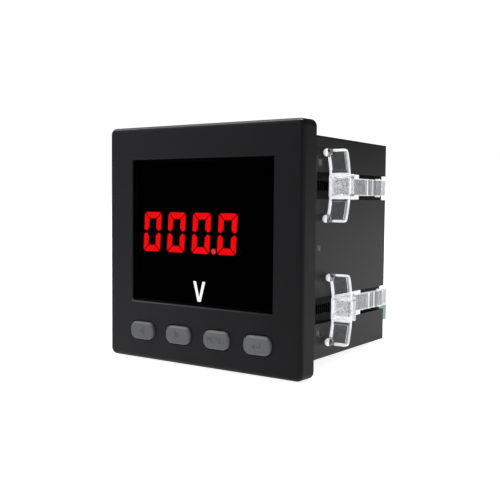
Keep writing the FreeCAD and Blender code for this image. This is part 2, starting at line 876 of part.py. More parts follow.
def make_case(doc, d):
    """Sleeve with a ratcheted, undercut channel for each clip, open at the rear."""
    body = new_body(doc, "case_body")
    start = -d.case_seat
    length = d.case_depth + d.case_seat
    outline = front_sketch(body, "case_outline", start)
    rounded_rectangle(outline, d.case_front_width, d.case_front_height, d.case_corner)
    sleeve = pad(body, outline, length, back=True)
    bind(sleeve, "TaperAngle", -d.case_draft)
    hollow = front_sketch(body, "case_hollow", start)
    rectangle(hollow, 2 * d.case_inner_x, 2 * d.case_inner_z)
    pocket(body, hollow, length)

    backing_start = d.channel_start - d.channel_wall
    backing = front_sketch(body, "channel_backing", backing_start)
    thickness = d.case_inner_x - d.jog_x + d.backing_root
    for side, z in channel_places(d):
        rectangle(backing, thickness, d.jog_height, side * (d.jog_x + thickness / 2), z)
    pad(body, backing, d.case_depth - backing_start, back=True)

    run = d.case_depth - d.channel_start
    mouth = front_sketch(body, "channel_mouth", d.channel_start)
    undercut = front_sketch(body, "channel_undercut", d.channel_start)
    for side, z in channel_places(d):
        rectangle(mouth, 2 * d.channel_depth, d.channel_height, side * d.case_width / 2, z)
        rectangle(undercut, d.undercut_depth, d.channel_height + 2 * d.undercut_height,
                  side * (d.floor_x + d.undercut_depth / 2), z)
    pocket(body, mouth, run)
    pocket(body, undercut, run)

    windows = side_sketch(body, "side_windows")
    for z in (-d.finger_offset, as_size(0), d.finger_offset):
        rectangle(windows, d.hook_length, d.hook_height, d.hook_start + d.hook_length / 2, z)
    pocket_both_ways(body, windows, d.case_width + d.case_wall)
    windows = plan_sketch(body, "end_windows")
    for x in (-d.finger_spread, d.finger_spread):
        rectangle(windows, d.hook_height, d.hook_length, x, d.hook_start + d.hook_length / 2)
    pocket_both_ways(body, windows, d.case_height + d.case_wall)

    posts = front_sketch(body, "cover_posts", d.cover_seat - d.cover_post_length)
    pilots = front_sketch(body, "cover_pilots", d.cover_seat - d.cover_post_length + d.cover_post_floor)
    for x, z in cover_places(d):
        circle(posts, d.cover_post, x, z)
        circle(pilots, d.screw_diameter, x, z)
    pad(body, posts, d.cover_post_length, back=True)
    pocket(body, pilots, d.cover_post_length)
    make_rails(body, d)
    make_racks(body, d)
    return body


def make_racks(body, d):
    """Ratchet teeth on each channel's floor: steep towards the front, sloped towards the rear."""
    tooth = plan_sketch(body, "rack_tooth", d.channel_offset)
    root = d.floor_x - d.tooth_land
    crest = d.floor_x + d.tooth_height
    start = d.rack_start
    end = start + d.tooth_pitch - d.tooth_land
    land = start + d.tooth_land
    polygon(tooth, ((root, start), (crest, start), (crest, land), (d.floor_x, end), (root, end)))
    first = pad_both_ways(body, tooth, d.rack_width)
    racks = body.newObject("PartDesign::MultiTransform", "racks")
    racks.Originals = [first]
    line = body.newObject("PartDesign::LinearPattern", "rack_line")
    line.Direction = (tooth, ["V_Axis"])
    line.Mode = "Spacing"
    bind(line, "Offset", d.tooth_pitch)
    count = d.rack_length / d.tooth_pitch
    line.setExpression("Occurrences", f"floor({count.formula})")
    racks.Transformations = [line] + mirror_steps(body, "rack_mirror")
    body.Tip = racks


def make_rails(body, d):
    """Grooved rails on the case's side walls that hold the main board's edges."""
    rails = front_sketch(body, "board_rails", d.rail_start)
    inner = d.main_board_width / 2 - d.rail_grip
    outer = d.case_inner_x + d.rail_root
    low = -d.case_inner_z - d.rail_root
    top = d.main_board_low - d.board_fit
    for side in (-1, 1):
        x = side * (inner + outer) / 2
        rectangle(rails, outer - inner, top - low, x, (top + low) / 2)
        rectangle(rails, outer - inner, d.rail_height, x, d.main_board_top + d.board_fit + d.rail_height / 2)
    pad(body, rails, d.rail_length, back=True)


def make_rear_cover(doc, d):
    """Plate that closes the case's rear, notched round the channels and open for the terminals."""
    body = new_body(doc, "rear_cover")
    outline = front_sketch(body, "cover_outline", d.cover_seat)
    rectangle(outline, 2 * (d.case_inner_x - d.cover_gap), 2 * (d.case_inner_z - d.cover_gap))
    pad(body, outline, d.cover_thickness, back=True)
    cuts = front_sketch(body, "cover_cuts", d.cover_seat)
    notch = 2 * (d.case_inner_x - d.jog_x + d.cover_gap)
    for side, z in channel_places(d):
        rectangle(cuts, notch, d.jog_height + 2 * d.cover_gap, side * d.case_inner_x, z)
    gap = 2 * d.plug_gap
    both_headers = 2 * d.header_width + d.header_space
    rectangle(cuts, both_headers + gap, d.header_height + gap, 0, d.header_centre_z)
    for x, z in cover_places(d):
        circle(cuts, d.screw_diameter + d.screw_room, x, z)
    pocket(body, cuts, d.cover_thickness)
    return body


def make_cover_screws(doc, d):
    places = cover_places(d)
    screws = [screw(doc, f"cover_screw_{n}", d, x, d.case_depth, z) for n, (x, z) in enumerate(places)]
    return group(doc, "cover_screws", screws)


def make_main_board(doc, d):
    low = (-d.main_board_width / 2, d.main_board_start, d.main_board_low)
    size = (d.main_board_width, d.main_board_end - d.main_board_start, d.board_thickness)
    return box(doc, "main_board", low, size)


def make_board_link(doc, d):
    """Angled pin strip between the display board and the main board."""
    strip_start = d.main_board_start + d.link_setback
    low = (-d.link_width / 2, strip_start, d.main_board_top)
    strip = box(doc, "link_strip", low, (d.link_width, d.link_height, d.link_height))
    pins = []
    pin_start = d.board_back + d.link_gap
    pin_low = d.main_board_top + (d.link_height - d.link_pin) / 2
    size = (d.link_pin, strip_start - pin_start, d.link_pin)
    for index in range(LINK_PINS):
        x = (index - (LINK_PINS - 1) / 2) * d.link_pitch - d.link_pin / 2
        pins.append(box(doc, f"link_pin_{index}", (x, pin_start, pin_low), size))
    return fused(doc, "board_link", [strip] + pins)


def make_parts_on_boards(doc, d):
    """Transformer, capacitors and chip."""
    top = d.main_board_top
    core_low = top + d.coil_overhang
    core_high = d.core_height - d.coil_overhang
    core = box(doc, "core_block", (d.core_x, d.core_y, core_low), (d.core_width, d.core_depth, core_high))
    limb = d.core_width * d.core_limb_share
    coil_low = (d.core_x + limb, d.core_y - d.coil_proud, core_low + d.core_yoke)
    coil_size = (d.core_width - 2 * limb, d.core_depth + 2 * d.coil_proud, core_high - 2 * d.core_yoke)
    frame = cut(doc, "transformer_core", core, box(doc, "core_window", coil_low, coil_size))
    bobbin = [box(doc, "coil_block", coil_low, coil_size)]
    foot = (coil_size[0], d.coil_foot, d.coil_foot_height)
    for label, y in (("front", d.core_y - d.coil_foot), ("rear", d.core_y + d.core_depth)):
        bobbin.append(box(doc, f"coil_foot_{label}", (coil_low[0], y, top), foot))
    coil = fused(doc, "transformer_coil", bobbin)
    main = cylinder(doc, "main_capacitor", (d.capacitor_x, d.capacitor_y, top),
                    d.capacitor_diameter, d.capacitor_height)
    small = []
    for number, (x, y) in enumerate(SMALL_CAPACITORS):
        small.append(cylinder(doc, f"small_capacitor_{number}", (x, y, top),
                              d.small_capacitor_diameter, d.small_capacitor_height))
    chip = box(doc, "controller_chip", (-d.chip_side / 2, d.board_back, d.chip_rise),
               (d.chip_side, d.chip_height, d.chip_side))
    return [frame, coil, main, group(doc, "small_capacitors", small), chip]


def pole_places(d, side):
    """Middle of each pole of the block on one side."""
    middle = side * (d.header_width + d.header_space) / 2
    return [middle + (index - (POLES - 1) / 2) * d.pole_pitch for index in range(POLES)]


def make_header(doc, d, label, side):
    """Socket on the main board that the plug pushes into, and its pins."""
    middle = side * (d.header_width + d.header_space) / 2
    body = new_body(doc, f"terminal_header_{label}")
    block = front_sketch(body, f"{label}_header_block", d.header_start, middle, d.header_centre_z)
    rectangle(block, d.header_width, d.header_height)
    pad(body, block, d.header_depth, back=True)
    socket = front_sketch(body, f"{label}_header_socket", d.socket_floor, middle, d.header_centre_z)
    socket_width = d.header_width - 2 * d.header_side + 2 * d.plug_gap
    rectangle(socket, socket_width, d.header_height - 2 * d.header_wall)
    pocket(body, socket, d.header_depth)
    pins = []
    for index, x in enumerate(pole_places(d, side)):
        low = (x - d.pin_side / 2, d.socket_floor, d.header_centre_z - d.pin_side / 2)
        pins.append(box(doc, f"{label}_pin_{index}", low, (d.pin_side, d.pin_reach, d.pin_side)))
    return [body, group(doc, f"header_pins_{label}", pins)]


def plug_outline(d):
    """Side view of a plug: a thin nose for the socket and a taller body behind it."""
    nose_low = d.header_centre_z - d.header_height / 2 + d.header_wall + d.plug_gap
    nose_top = d.header_centre_z + d.header_height / 2 - d.header_wall - d.plug_gap
    nose = d.header_end - d.plug_insert
    shoulder = d.header_end + d.plug_gap
    rear = d.header_end + d.plug_reach
    return ((nose, nose_low), (shoulder, nose_low), (shoulder, d.plug_low), (rear, d.plug_low),
            (rear, d.plug_top - d.plug_shoulder), (rear - d.plug_slope, d.plug_top),
            (shoulder + d.plug_ramp, d.plug_top), (shoulder, d.plug_top - d.plug_ramp_drop),
            (shoulder, nose_top), (nose, nose_top))


def make_plug(doc, d, label, side):
    """Green plug with a wire entry, a clamp and a screw for each pole."""
    middle = side * (d.header_width + d.header_space) / 2
    width = d.pole_pitch * POLES
    rear = d.header_end + d.plug_reach
    wire_z = d.plug_low + d.entry_rise + d.wire_height / 2
    body = new_body(doc, f"terminal_plug_{label}")
    profile = polygon(side_sketch(body, f"{label}_plug_profile", middle), plug_outline(d))
    pad_both_ways(body, profile, width)
    entries = front_sketch(body, f"{label}_wire_entries", rear)
    sockets = front_sketch(body, f"{label}_pin_sockets", d.header_end - d.plug_insert)
    screw_y = rear - d.wire_depth / 2
    wells = plan_sketch(body, f"{label}_screw_wells", d.plug_top)
    socket = d.pin_side + d.socket_room
    for x in pole_places(d, side):
        rectangle(entries, d.wire_width, d.wire_height, x, wire_z)
        rectangle(sockets, socket, socket, x, d.header_centre_z)
        circle(wells, d.terminal_screw + d.screw_room, x, screw_y)
    pocket(body, entries, d.wire_depth, front=True)
    pocket(body, sockets, d.plug_insert)
    pocket(body, wells, d.plug_top - wire_z)
    clamps = []
    screws = []
    for index, x in enumerate(pole_places(d, side)):
        clamps.append(make_clamp(doc, d, f"{label}_clamp_{index}", x, screw_y, wire_z))
        screws.append(make_terminal_screw(doc, d, f"{label}_screw_{index}", x, screw_y, wire_z))
    clamps = group(doc, f"terminal_clamps_{label}", clamps)
    screws = group(doc, f"terminal_screws_{label}", screws)
    return [body, clamps, screws]


def make_clamp(doc, d, name, x, y, z):
    """A square metal loop that grips a wire, centred in its entry."""
    size = (d.wire_width - d.clamp_fit, d.clamp_length, d.wire_height - d.clamp_fit)
    inner = (size[0] - 2 * d.clamp_wall, 2 * d.clamp_length, size[2] - 2 * d.clamp_wall)
    blocks = []
    for part, (wide, deep, high) in (("block", size), ("bore", inner)):
        low = (x - wide / 2, y - deep / 2, z - high / 2)
        blocks.append(box(doc, f"{name}_{part}", low, (wide, deep, high)))
    return cut(doc, name, *blocks)


def make_terminal_screw(doc, d, name, x, y, z):
    """A slotted screw sunk in its well, standing on the clamp below."""
    foot = z + d.wire_height / 2
    length = d.plug_top - d.terminal_screw_sink - foot
    stem = cylinder(doc, name + "_stem", (x, y, foot), d.terminal_screw, length)
    low = (x - d.terminal_screw, y - d.slot_width / 2, foot + length - d.slot_depth)
    slot = box(doc, name + "_slot", low, (2 * d.terminal_screw, d.slot_width, d.slot_depth + d.slot_depth))
    return cut(doc, name, stem, slot)


def make_clip(doc, d, name, z, y):
    """Clear one-piece clip: runner and arm in the channel, bowed wings with ball feet ahead of the hub."""
    body = new_body(doc, name)
    floor = -d.channel_depth + d.clip_fit
    relief = -d.channel_depth + d.tooth_height + d.clip_fit
    height = d.channel_height - 2 * d.clip_fit
    skin = relief + d.arm_thickness
    runner_length = d.runner_length - d.runner_start
    runner = front_sketch(body, name + "_runner", d.runner_start)
    rectangle(runner, skin - floor, height, (skin + floor) / 2, 0)
    pad(body, runner, runner_length, back=True)
    rails = front_sketch(body, name + "_rails", d.runner_start)
    rail_top = -d.channel_depth + d.undercut_depth - d.clip_fit
    rectangle(rails, rail_top - floor, height + 2 * d.undercut_height, (rail_top + floor) / 2, 0)
    pad(body, rails, runner_length, back=True)
    groove = front_sketch(body, name + "_groove", d.runner_start)
    rectangle(groove, 2 * (relief - floor), d.rack_width + d.groove_room, floor, 0)
    pocket(body, groove, runner_length)
    arm = front_sketch(body, name + "_arm", d.runner_length - d.arm_root)
    rectangle(arm, d.arm_thickness, d.arm_height, (skin + relief) / 2, 0)
    pad(body, arm, d.arm_length - d.runner_length + d.arm_root, back=True)

    barbs = front_sketch(body, name + "_barbs", d.arm_length - d.barb_setback)
    rectangle(barbs, d.arm_thickness, d.arm_height + 2 * d.barb_height, (skin + relief) / 2, 0)
    pad(body, barbs, d.barb_length, back=True)

    grips = plan_sketch(body, name + "_grips")
    buried = skin - d.grip_root
    for start in (d.grip_start, d.grip_start + d.grip_pitch):
        crest = skin + d.grip_height
        stop = start + d.grip_width
        polygon(grips, ((buried, start), (crest, start + d.grip_root),
                        (crest, stop - d.grip_root), (buried, stop)))
    end = d.arm_length
    crest = skin + d.lip_height
    polygon(grips, ((buried, end - 2 * d.lip_width), (crest, end - d.lip_width), (crest, end), (buried, end)))
    pad_both_ways(body, grips, d.arm_height)

    hub = front_sketch(body, name + "_hub", -d.wing_thickness)
    outer = d.wing_inset + d.wing_width
    polygon(hub, crowned_block(d))
    pad(body, hub, d.hub_depth, back=True)
    cheeks = plan_sketch(body, name + "_cheeks")
    start = d.hub_depth - d.wing_thickness - d.cheek_root
    end = start + d.cheek_length
    side = outer - d.cheek_inset
    polygon(cheeks, ((buried, start), (side, start), (side, start + d.cheek_land), (skin + d.cheek_root, end),
                     (buried, end)))
    cheek_height = d.hub_height - 2 * d.cheek_step
    pad_both_ways(body, cheeks, cheek_height)
    between = plan_sketch(body, name + "_between")
    polygon(between, ((skin + d.cheek_root, start + d.cheek_root), (outer, start + d.cheek_root),
                      (outer, end), (skin + d.cheek_root, end)))
    pocket_both_ways(body, between, cheek_height - 2 * d.cheek_thickness)

    make_wings(body, d, name)
    place(body, d.case_width / 2, y, z)
    return body


def crowned_block(d):
    """The hub seen from the front: a block whose top and bottom rise a little in the middle."""
    edge = d.hub_height / 2 - d.hub_crown
    shoulder = d.hub_height / 2 - d.hub_crown / 4
    steps = ((0, edge), (1 / 4, shoulder), (1 / 2, d.hub_height / 2), (3 / 4, shoulder), (1, edge))
    top = [(d.wing_inset + share * d.wing_width, z) for share, z in steps]
    return top + [(x, -z) for x, z in reversed(top)]


def make_wings(body, d, name):
    """Thin springy wings, bowed towards the panel, with a raised rim and a ball foot at each tip."""
    half_span = d.wing_span / 2
    radius = (half_span * half_span + d.wing_bow * d.wing_bow) / (2 * d.wing_bow)
    face = radius - d.wing_thickness / 2
    blade = side_sketch(body, name + "_blade", d.wing_inset)
    bowed_band(blade, radius, (face, face + d.wing_thickness), (-half_span, half_span))
    pad(body, blade, d.wing_width)
    tip = half_span.number - SAME_PLACE
    fillet(body, d.wing_corner, lambda edge: abs(edge.BoundBox.ZMin) > tip and runs_across_blade(edge))

    recess = side_sketch(body, name + "_recess", d.wing_inset + d.wing_width - d.wing_rim)
    bowed_band(recess, radius, (face - d.wing_thickness, face + d.wing_recess),
               (d.hub_height / 2 + d.wing_rim, half_span - d.wing_rim))
    upper = pocket(body, recess, d.wing_width - 2 * d.wing_rim)
    mirrored(body, [upper], "XY_Plane", name + "_lower_recess")

    root = d.foot_offset * d.foot_offset / (2 * radius)
    profile = side_sketch(body, name + "_foot", d.foot_inset, d.foot_offset)
    ball_and_stem(profile, d.foot_diameter / 2, d.foot_stem / 2, -d.foot_reach, -root)
    foot = body.newObject("PartDesign::Revolution", name + "_ball_foot")
    foot.Profile = profile
    foot.ReferenceAxis = (profile, ["H_Axis"])
    foot.Angle = 360
    body.Tip = foot
    mirrored(body, [foot], "XY_Plane", name + "_lower_foot")


def runs_across_blade(edge):
    return edge.BoundBox.XLength < SAME_PLACE and edge.BoundBox.ZLength < SAME_PLACE


def bowed_band(sketch, bow, radii, levels):
    """A band between two radii about a centre that lies a bow radius ahead, cut off level at both ends."""
    centre = Vector(-bow.number, 0, 0)
    arcs = []
    for size in radii:
        ring = Part.Circle(centre, Vector(0, 0, 1), size.number)
        low, high = (math.asin(level.number / size.number) for level in levels)
        arcs.append(sketch.addGeometry(Part.ArcOfCircle(ring, low, high), False))
    ends = []
    for point, level in zip((1, 2), levels):
        tips = [Vector(math.sqrt(size.number ** 2 - level.number ** 2) - bow.number, level.number, 0)
                for size in radii]
        line = sketch.addGeometry(Part.LineSegment(*tips), False)
        sketch.addConstraint(Sketcher.Constraint("Coincident", line, 1, arcs[0], point))
        sketch.addConstraint(Sketcher.Constraint("Coincident", line, 2, arcs[1], point))
        sketch.addConstraint(Sketcher.Constraint("Horizontal", line))
        ends.append(line)
    sketch.addConstraint(Sketcher.Constraint("Coincident", arcs[0], 3, arcs[1], 3))
    sketch.addConstraint(Sketcher.Constraint("PointOnObject", arcs[0], 3, -1))
    hold(sketch, "DistanceX", "centre", -bow, -1, 1, arcs[0], 3)
    for arc, size in zip(arcs, radii):
        hold(sketch, "Radius", "radius", size, arc)
    for line, level in zip(ends, levels):
        hold(sketch, "DistanceY", "level", level, -1, 1, line, 1)
    return sketch


def ball_and_stem(sketch, radius, stem, centre, root):
    """Half the outline of a ball on a stem, with its flat side on the sketch's horizontal axis."""
    neck = centre.number + math.sqrt(radius.number ** 2 - stem.number ** 2)
    ring = Part.Circle(Vector(centre.number, 0, 0), Vector(0, 0, 1), radius.number)
    turn = math.asin(stem.number / radius.number)
    arc = sketch.addGeometry(Part.ArcOfCircle(ring, turn, math.pi), False)
    corners = (Vector(centre.number - radius.number, 0, 0), Vector(root.number, 0, 0),
               Vector(root.number, stem.number, 0), Vector(neck, stem.number, 0))
    lines = [sketch.addGeometry(Part.LineSegment(*pair), False) for pair in zip(corners, corners[1:])]
    sketch.addConstraint(Sketcher.Constraint("Coincident", arc, 2, lines[0], 1))
    sketch.addConstraint(Sketcher.Constraint("Coincident", lines[0], 2, lines[1], 1))
    sketch.addConstraint(Sketcher.Constraint("Coincident", lines[1], 2, lines[2], 1))
    sketch.addConstraint(Sketcher.Constraint("Coincident", lines[2], 2, arc, 1))
    sketch.addConstraint(Sketcher.Constraint("PointOnObject", arc, 3, -1))
    sketch.addConstraint(Sketcher.Constraint("PointOnObject", lines[0], 1, -1))
    sketch.addConstraint(Sketcher.Constraint("PointOnObject", lines[0], 2, -1))
    sketch.addConstraint(Sketcher.Constraint("Vertical", lines[1]))
    sketch.addConstraint(Sketcher.Constraint("Horizontal", lines[2]))
    hold(sketch, "Radius", "ball", radius, arc)
    hold(sketch, "DistanceX", "centre", centre, -1, 1, arc, 3)
    hold(sketch, "DistanceX", "root", root, -1, 1, lines[0], 2)
    hold(sketch, "DistanceY", "stem", stem, -1, 1, lines[1], 2)
    return sketch


def mirror_to_left(doc, name, source):
    item = doc.addObject("Part::Mirroring", name)
    item.Label = name
    item.Source = source
    item.Base = Vector()
    item.Normal = Vector(1, 0, 0)
    return item


def make_clips(doc, d):
    clips = []
    for level, z, y in (("upper", d.channel_offset, d.clip_start),
                        ("lower", -d.channel_offset, d.clip_start + d.clip_lag)):
        right = make_clip(doc, d, f"clip_right_{level}", z, y)
        clips += [right, mirror_to_left(doc, f"clip_left_{level}", right)]
    return clips


def make_all(doc):
    d = derived(make_sheet(doc))
    nodes = [make_bezel(doc, d), make_lens(doc, d)]
    nodes += make_display(doc, d)
    nodes += [make_display_board(doc, d), make_board_screws(doc, d)]
    for number, (name, x) in enumerate(zip(KEY_NAMES, key_places(d)), start=1):
        nodes += make_switch(doc, d, number, x)
        nodes.append(make_key(doc, d, name, x))
    nodes += [make_case(doc, d), make_rear_cover(doc, d), make_cover_screws(doc, d)]
    nodes += [make_main_board(doc, d), make_board_link(doc, d)]
    nodes += make_parts_on_boards(doc, d)
    for label, side in (("left", -1), ("right", 1)):
        nodes += make_header(doc, d, label, side)
        nodes += make_plug(doc, d, label, side)
    nodes += make_clips(doc, d)
    return nodes


def check(doc, nodes):
    failed = [item.Name for item in doc.Objects if {"Invalid", "Error"} & set(item.State)]
    if failed:
        raise RuntimeError("failed features: " + ", ".join(failed))
    for node in nodes:
        if node.Shape.isNull() or not node.Shape.isValid():
            raise RuntimeError("bad shape: " + node.Label)


def write(nodes):
    os.makedirs("parts", exist_ok=True)
    for node in nodes:
        node.Shape.exportStep(f"parts/{node.Label}.step")
        print(node.Label, len(node.Shape.Solids), round(node.Shape.Volume, 2))


document = FreeCAD.newDocument("panel_meter")
pieces = make_all(document)
document.recompute()
check(document, pieces)
write(pieces)
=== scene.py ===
import json
import math

import bpy
from mathutils import Matrix, Vector


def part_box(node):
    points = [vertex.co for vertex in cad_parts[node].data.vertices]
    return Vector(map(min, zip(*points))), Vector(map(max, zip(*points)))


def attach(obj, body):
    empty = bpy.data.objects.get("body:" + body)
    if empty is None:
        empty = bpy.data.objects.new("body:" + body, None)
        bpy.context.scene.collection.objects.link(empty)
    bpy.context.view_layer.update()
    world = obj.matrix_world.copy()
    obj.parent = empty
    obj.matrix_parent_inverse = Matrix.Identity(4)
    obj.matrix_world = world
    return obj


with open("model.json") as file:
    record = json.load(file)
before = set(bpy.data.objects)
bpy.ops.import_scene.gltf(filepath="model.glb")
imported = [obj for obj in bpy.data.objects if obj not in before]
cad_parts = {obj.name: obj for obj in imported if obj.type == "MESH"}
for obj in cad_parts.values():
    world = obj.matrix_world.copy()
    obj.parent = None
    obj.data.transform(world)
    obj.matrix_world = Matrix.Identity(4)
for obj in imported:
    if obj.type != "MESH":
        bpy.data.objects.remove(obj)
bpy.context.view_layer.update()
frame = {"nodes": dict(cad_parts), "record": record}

MM = 0.001
WHITE = (1, 1, 1)
scene = bpy.context.scene


# Numbers that vary over a surface

class Field:
    """A number that varies over a surface. Each operator adds one Math node to the material."""

    def __init__(self, socket):
        self.socket = socket

    def drive(self, entry):
        """Feeds the number into a node's socket."""
        self.socket.id_data.links.new(self.socket, entry)

    def math(self, operation, *others, clamp=False):
        node = self.socket.id_data.nodes.new("ShaderNodeMath")
        node.operation = operation
        node.use_clamp = clamp
        self.drive(node.inputs[0])
        for entry, other in zip(node.inputs[1:], others):
            if isinstance(other, Field):
                other.drive(entry)
            else:
                entry.default_value = other
        return Field(node.outputs[0])

    def __add__(self, other):
        return self.math("ADD", other)

    def __sub__(self, other):
        return self.math("SUBTRACT", other)

    def __rsub__(self, other):
        return self.math("MULTIPLY_ADD", -1, other)

    def __mul__(self, other):
        return self.math("MULTIPLY", other)

    def __abs__(self):
        return self.math("ABSOLUTE")

    def less(self, other):
        """The difference, held between 0 and 1."""
        return self.math("SUBTRACT", other, clamp=True)

    def rise(self, limit, blur):
        """Goes from 0 to 1 as the number passes the limit."""
        return self.math("MULTIPLY_ADD", 1 / blur, 0.5 - limit / blur, clamp=True)

    def beyond(self, limit, blur=0.1):
        """Goes from 0 to 1 as a length passes the limit. Both are in millimetres."""
        return self.rise(limit * MM, blur * MM)

    def before(self, limit, blur=0.1):
        """Goes from 1 to 0 as a length passes the limit."""
        return 1 - self.beyond(limit, blur)

    def within(self, low, high, blur=0.1):
        """1 between two limits in millimetres and 0 outside them."""
        return self.beyond(low, blur) - self.beyond(high, blur)


def largest(first, *others):
    for other in others:
        first = first.math("MAXIMUM", other)
    return first


def object_coordinates(tree):
    return tree.nodes.new("ShaderNodeTexCoord").outputs["Object"]


def place(tree):
    """How far across, back and up a point lies in the part's frame, in metres."""
    split = tree.nodes.new("ShaderNodeSeparateXYZ")
    tree.links.new(object_coordinates(tree), split.inputs[0])
    return [Field(output) for output in split.outputs]


def noise(tree, scale, detail=3.0):
    node = tree.nodes.new("ShaderNodeTexNoise")
    node.inputs["Scale"].default_value = scale
    node.inputs["Detail"].default_value = detail
    tree.links.new(object_coordinates(tree), node.inputs["Vector"])
    return Field(node.outputs["Fac"])


# Materials

MOTTLE_SPREAD = 0.12
MOTTLE_SCALE = 60
MOTTLE_RANGE = (0.3, 0.7)
GRAIN_STRENGTH = 0.25


def ramp(tree, factor, low, high):
    """A colour that runs from one to the other. Each is given as a place on the factor and a colour."""
    node = tree.nodes.new("ShaderNodeValToRGB")
    for element, (position, colour) in zip(node.color_ramp.elements, (low, high)):
        element.position = position
        element.color = (*colour, 1)
    factor.drive(node.inputs["Fac"])
    return node.outputs["Color"]


def grain(tree, shader, scale, strength, distance):
    """A fine moulded texture on the surface."""
    bump = tree.nodes.new("ShaderNodeBump")
    bump.inputs["Strength"].default_value = strength
    bump.inputs["Distance"].default_value = distance
    noise(tree, scale).drive(bump.inputs["Height"])
    tree.links.new(bump.outputs["Normal"], shader.inputs["Normal"])


def plastic(name, colour, roughness, specular=0.5, **sockets):
    """An even surface. An underscore in a socket's name stands for a space."""
    material = bpy.data.materials.new(name)
    material.use_nodes = True
    shader = material.node_tree.nodes["Principled BSDF"]
    shader.inputs["Base Color"].default_value = (*colour, 1)
    shader.inputs["Roughness"].default_value = roughness
    shader.inputs["Specular IOR Level"].default_value = specular
    for socket, value in sockets.items():
        shader.inputs[socket.replace("_", " ")].default_value = value
    return material, material.node_tree, shader


def moulding(name, colour, roughness, specular, grain_scale, grain_depth):
    """A plastic with a fine grain and a slight, cloudy change of shade."""
    material, tree, shader = plastic(name, colour, roughness, specular)
    dark = [c * (1 - MOTTLE_SPREAD) for c in colour]
    light = [c * (1 + MOTTLE_SPREAD) for c in colour]
    low, high = MOTTLE_RANGE
    mottled = ramp(tree, noise(tree, MOTTLE_SCALE), (low, dark), (high, light))
    tree.links.new(mottled, shader.inputs["Base Color"])
    grain(tree, shader, grain_scale, GRAIN_STRENGTH, grain_depth)
    return material, tree, shader


def shaded(tree, shader, factor):
    """Multiplies the colour and the shine of a moulding by a factor that changes over it."""
    colour = shader.inputs["Base Color"]
    scale = tree.nodes.new("ShaderNodeVectorMath")
    scale.operation = "SCALE"
    tree.links.new(colour.links[0].from_socket, scale.inputs[0])
    factor.drive(scale.inputs["Scale"])
    tree.links.new(scale.outputs[0], colour)
    shine = shader.inputs["Specular IOR Level"]
    (factor * shine.default_value).drive(shine)


def glow(name, colour, strength, base=(0.2, 0.01, 0.01)):
    return plastic(name, base, 0.5, Emission_Color=(*colour, 1), Emission_Strength=strength)


# Shades of the photo's light, found by their places on the part. Lengths are in millimetres. A pair is a
# lowest and a highest limit.

# Painted shade that darkens the bezel's front toward the right, and painted highlights on its sill, brow and
# hooks
FRONT_TONE = 0.96
SHADE_X = 8
SHADE_WIDTH = 64
SHADE_DEPTH = 0.3
SILL_HALF = 0.5
SILL_END = 0.3
SILL_FADE = 60
SILL_GAIN = 5
SILL_LEAST = 0.5
BROW_Z = 39.15
BROW_Y = -6.3
BROW_GAIN = 9
HOOK_X = 34.6
HOOK_Y = 7
HOOK_GAIN = 8


def bezel_look():
    """Charcoal with painted shade that darkens it toward the right, and painted highlights on its upper edge,
    its hooks and under the window.
    """
    material, tree, shader = moulding("bezel_charcoal", (0.0062, 0.0063, 0.0076), 0.46, 0.16, 2600, 0.00004)
    x, y, z = place(tree)
    # Painted shade toward the right; painted highlights as a pale line under the window, a pale upper edge and
    # pale hooks
    front_painted_shade = FRONT_TONE - x.beyond(SHADE_X, SHADE_WIDTH) * SHADE_DEPTH
    low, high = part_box("window_lens")
    sill_highlight = z.within(low.z / MM - SILL_HALF, low.z / MM + SILL_HALF)
    sill_highlight = sill_highlight * x.within(low.x / MM - SILL_END, high.x / MM + SILL_END)
    sill_highlight = sill_highlight * (x.before(0, SILL_FADE) * SILL_GAIN + SILL_LEAST)
    brow_highlight = z.beyond(BROW_Z).less(y.beyond(BROW_Y)) * BROW_GAIN
    hook_highlight = y.beyond(HOOK_Y) * abs(x).beyond(HOOK_X) * HOOK_GAIN
    shaded(tree, shader, front_painted_shade + largest(sill_highlight, brow_highlight, hook_highlight))
    return material


BEVEL_Z = -27.7
BEVEL_BLUR = 0.3
BEVEL_GAIN = 0.55


def key_look():
    """Grey keys whose upper bevel catches the light."""
    material, tree, shader = moulding("key_grey", (0.092, 0.094, 0.102), 0.5, 0.3, 2600, 0.00003)
    z = place(tree)[2]
    shaded(tree, shader, z.beyond(BEVEL_Z, BEVEL_BLUR) * BEVEL_GAIN + FRONT_TONE)
    return material


# Painted shade in the clip channels and the upper rear corner, and a painted highlight with a faint glow on the
# snap windows' back wall
CHANNEL_X = (30, 35.3)
CHANNEL_Y = (0, 57)
CHANNEL_Z = (14, 26)
CHANNEL_SHADE = 0.6
CORNER_Y = 15
CORNER_Y_WIDTH = 40
CORNER_Z = 20
CORNER_Z_WIDTH = 30
CORNER_SHADE = 0.45
LATCH_X = (34.9, 35.75)
LATCH_Y = (10.4, 10.6)
LATCH_BLUR = 0.02
LATCH_HIGHLIGHT = 100
LATCH_PAINTED_GLOW = 0.05


def case_look():
    """Black, with painted shade in the clip channels and at the upper back, and a painted highlight with a
    faint glow on the back wall of the snap windows.
    """
    material, tree, shader = moulding("case_black", (0.0058, 0.0053, 0.005), 0.42, 0.165, 2600, 0.00003)
    x, y, z = place(tree)
    out = abs(x)
    # Painted shade darkens the channels and the upper rear corner; a painted highlight and glow pale the snap
    # windows' back wall
    channel_shade = out.within(*CHANNEL_X) * y.within(*CHANNEL_Y) * abs(z).within(*CHANNEL_Z)
    corner_shade = z.beyond(CORNER_Z, CORNER_Z_WIDTH) * y.beyond(CORNER_Y, CORNER_Y_WIDTH)
    latch_highlight = out.within(*LATCH_X) * y.within(*LATCH_Y, LATCH_BLUR)
    shaded(tree, shader, 1 - channel_shade * CHANNEL_SHADE - corner_shade * CORNER_SHADE + latch_highlight * LATCH_HIGHLIGHT)
    shader.inputs["Emission Color"].default_value = (*WHITE, 1)
    (latch_highlight * LATCH_PAINTED_GLOW).drive(shader.inputs["Emission Strength"])
    return material


